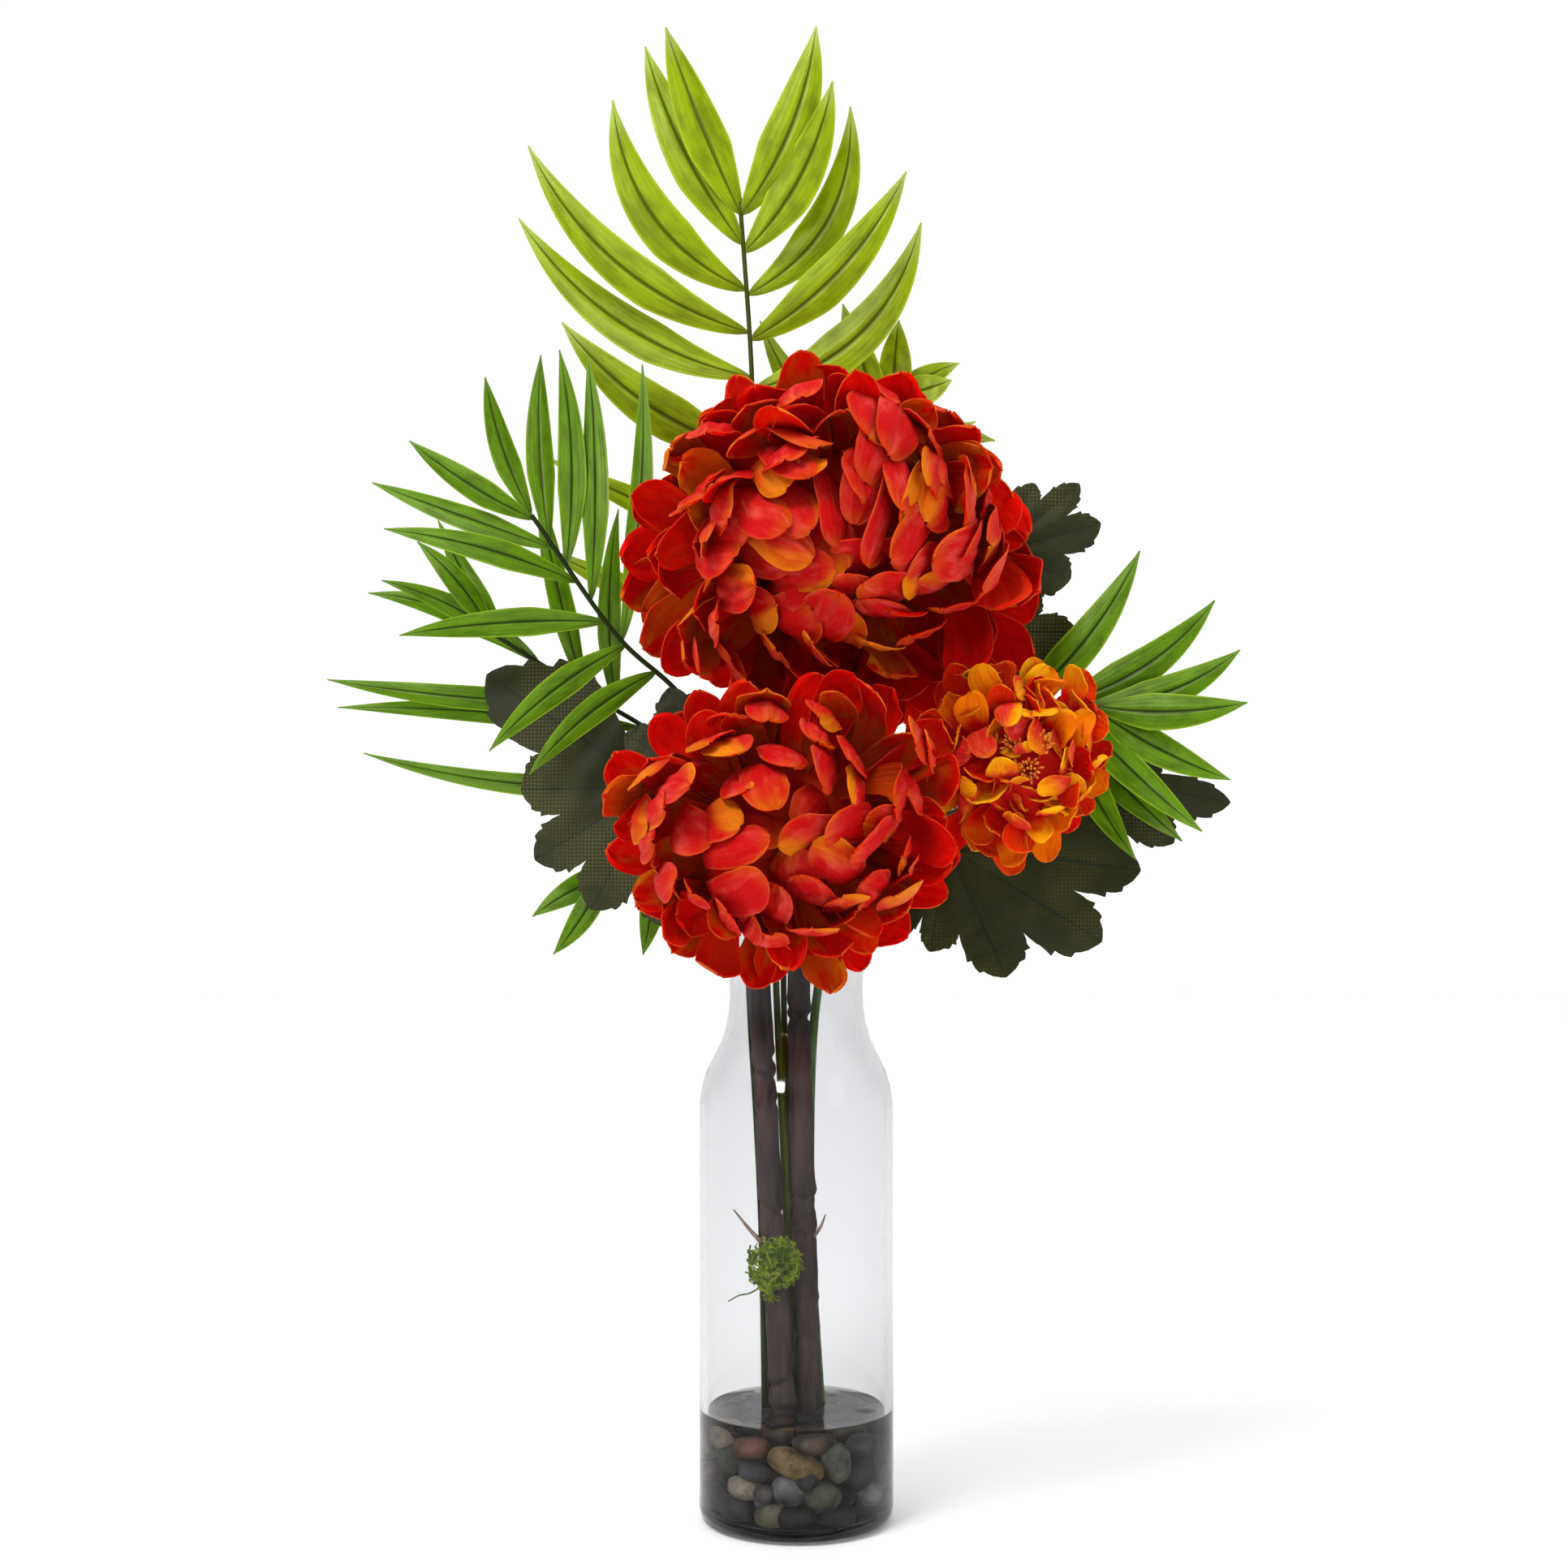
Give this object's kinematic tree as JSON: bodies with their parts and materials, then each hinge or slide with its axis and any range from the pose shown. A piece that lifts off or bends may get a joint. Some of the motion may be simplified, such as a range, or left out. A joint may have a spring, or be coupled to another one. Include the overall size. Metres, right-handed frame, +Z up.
{
  "type": "cut flower arrangement in a glass vase",
  "caption": "Red and orange chrysanthemums with palm fronds and lobed leaves, held by clear water and river stones in a glass bottle vase.",
  "frame": {"origin": "centre of the vase's round underside, on the surface it rests on", "axes": "+Z up along the vase's axis, -Y towards the front, from which the flower heads are seen, +X to the viewer's right"},
  "size_m": [0.3661, 0.1729, 0.5891],
  "materials": {
    "clear_glass": "clear, smooth",
    "river_stone": "river-worn, wet, tan, grey and dark brown",
    "clear_water": "clear set water",
    "bark": "moulded bark, dull",
    "green_stem": "dull green",
    "moss": "fine bright green strands",
    "red_petal": "matte cloth, deep red with coral backs and orange edges",
    "orange_petal": "matte cloth, yellow-orange and red",
    "stamen": "dull orange",
    "lime_palm": "satin lime green",
    "green_palm": "satin mid green",
    "dark_leaf": "matte cloth, dark green"
  },
  "bodies": {
    "root": {"vase": "clear_glass", "river_stones": "river_stone", "water": "clear_water", "front_mum_stem": "bark", "big_mum_stem": "bark", "spray_mum_stem": "green_stem", "moss_tuft": "moss", "big_mum": "red_petal", "front_mum": "red_petal", "spray_mum": "orange_petal", "spray_mum_eye_1": "stamen", "spray_mum_eye_2": "stamen", "spray_mum_eye_3": "stamen", "big_mum_calyx": "green_stem", "front_mum_calyx": "green_stem", "spray_mum_calyx": "green_stem", "palm_frond_top": "lime_palm", "palm_frond_back": "lime_palm", "palm_frond_left": "green_palm", "palm_frond_far_left": "green_palm", "palm_frond_low": "green_palm", "palm_frond_right": "green_palm", "leaf_right_high": "dark_leaf", "leaf_right_middle": "dark_leaf", "leaf_right": "dark_leaf", "leaf_right_low": "dark_leaf", "leaf_left": "dark_leaf", "leaf_left_inner": "dark_leaf"}
  },
  "joints": []
}
